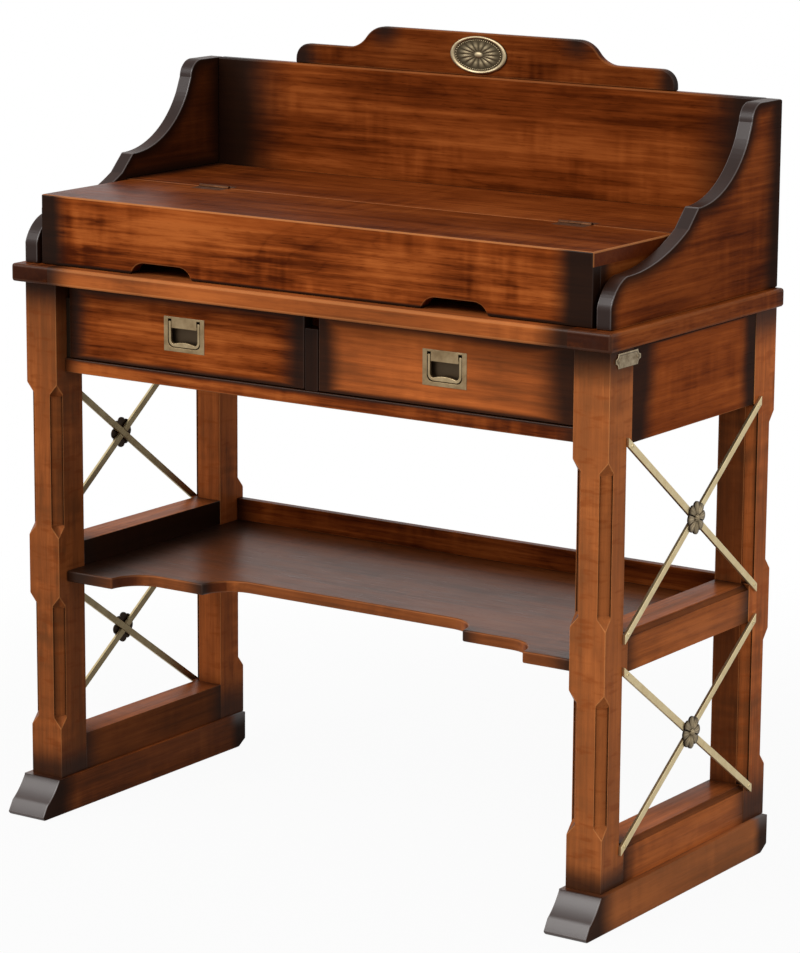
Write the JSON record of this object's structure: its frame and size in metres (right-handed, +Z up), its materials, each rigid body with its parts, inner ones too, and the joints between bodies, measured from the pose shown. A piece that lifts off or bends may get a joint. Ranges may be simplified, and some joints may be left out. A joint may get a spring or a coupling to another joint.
{
  "type": "campaign desk",
  "caption": "Campaign writing desk on sledge feet, with a fold-back hood under a scrolled gallery, drawers with flush pulls, a coved shelf and crossed brass side braces.",
  "frame": {"origin": "on the floor, in the middle of the desk's width and depth", "axes": "+X to the right as seen from the front, +Y to the back, +Z up"},
  "size_m": [0.959, 0.4746, 1.0895],
  "materials": {
    "stained_wood": "satin red-brown stain, darkened at the edges",
    "inner_wood": "plain unstained wood",
    "aged_brass": "dark antique brass",
    "pale_brass": "pale aged brass"
  },
  "bodies": {
    "frame": {"left_foot": "stained_wood", "right_foot": "stained_wood", "left_front_post": "stained_wood", "right_front_post": "stained_wood", "left_rear_post": "stained_wood", "right_rear_post": "stained_wood", "left_lower_rail": "stained_wood", "right_lower_rail": "stained_wood", "left_mid_rail": "stained_wood", "right_mid_rail": "stained_wood", "shelf": "stained_wood", "shelf_back_rail": "stained_wood", "left_case_side": "stained_wood", "right_case_side": "stained_wood", "case_back": "stained_wood", "drawer_rail": "stained_wood", "top_rail": "stained_wood", "drawer_divider": "stained_wood", "left_drawer_runner": "inner_wood", "right_drawer_runner": "inner_wood", "centre_runner": "inner_wood", "drawer_kickers": "inner_wood", "desk_top": "stained_wood", "left_breadboard_end": "stained_wood", "right_breadboard_end": "stained_wood", "left_gallery_side": "stained_wood", "right_gallery_side": "stained_wood", "gallery_back": "stained_wood", "crest": "stained_wood", "crest_plaque": "aged_brass", "rear_cover": "stained_wood", "hinge_fixed_leaves": "aged_brass", "hinge_pins": "aged_brass", "left_upper_braces": "pale_brass", "right_upper_braces": "pale_brass", "left_lower_braces": "pale_brass", "right_lower_braces": "pale_brass", "left_rosettes": "aged_brass", "right_rosettes": "aged_brass", "right_leg_plate": "aged_brass"},
    "hood": {"hood_lid": "stained_wood", "hood_front": "stained_wood", "hood_left_cheek": "stained_wood", "hood_right_cheek": "stained_wood", "hinge_lid_leaves": "aged_brass"},
    "left_drawer": {"left_drawer_front": "stained_wood", "left_drawer_left_side": "inner_wood", "left_drawer_right_side": "inner_wood", "left_drawer_back": "inner_wood", "left_drawer_bottom": "inner_wood", "left_pull_plate": "aged_brass"},
    "right_drawer": {"right_drawer_front": "stained_wood", "right_drawer_left_side": "inner_wood", "right_drawer_right_side": "inner_wood", "right_drawer_back": "inner_wood", "right_drawer_bottom": "inner_wood", "right_pull_plate": "aged_brass"},
    "left_bail": {"left_bail": "aged_brass"},
    "right_bail": {"right_bail": "aged_brass"}
  },
  "joints": [
    {"name": "hood_hinge", "type": "hinge", "parent": "frame", "child": "hood", "pos_m": [0, 0.00875, 0.8764], "axis": [-1, 0, 0], "range_deg": [0, 180]},
    {"name": "left_drawer_slide", "type": "slide", "parent": "frame", "child": "left_drawer", "axis": [0, -1, 0], "range_m": [0, 0.27]},
    {"name": "right_drawer_slide", "type": "slide", "parent": "frame", "child": "right_drawer", "axis": [0, -1, 0], "range_m": [0, 0.27]},
    {"name": "left_bail_swing", "type": "hinge", "parent": "left_drawer", "child": "left_bail", "pos_m": [-0.20975, -0.16935, 0.71735], "axis": [-1, 0, 0], "range_deg": [0, 90]},
    {"name": "right_bail_swing", "type": "hinge", "parent": "right_drawer", "child": "right_bail", "pos_m": [0.20975, -0.16935, 0.71735], "axis": [-1, 0, 0], "range_deg": [0, 90]}
  ]
}
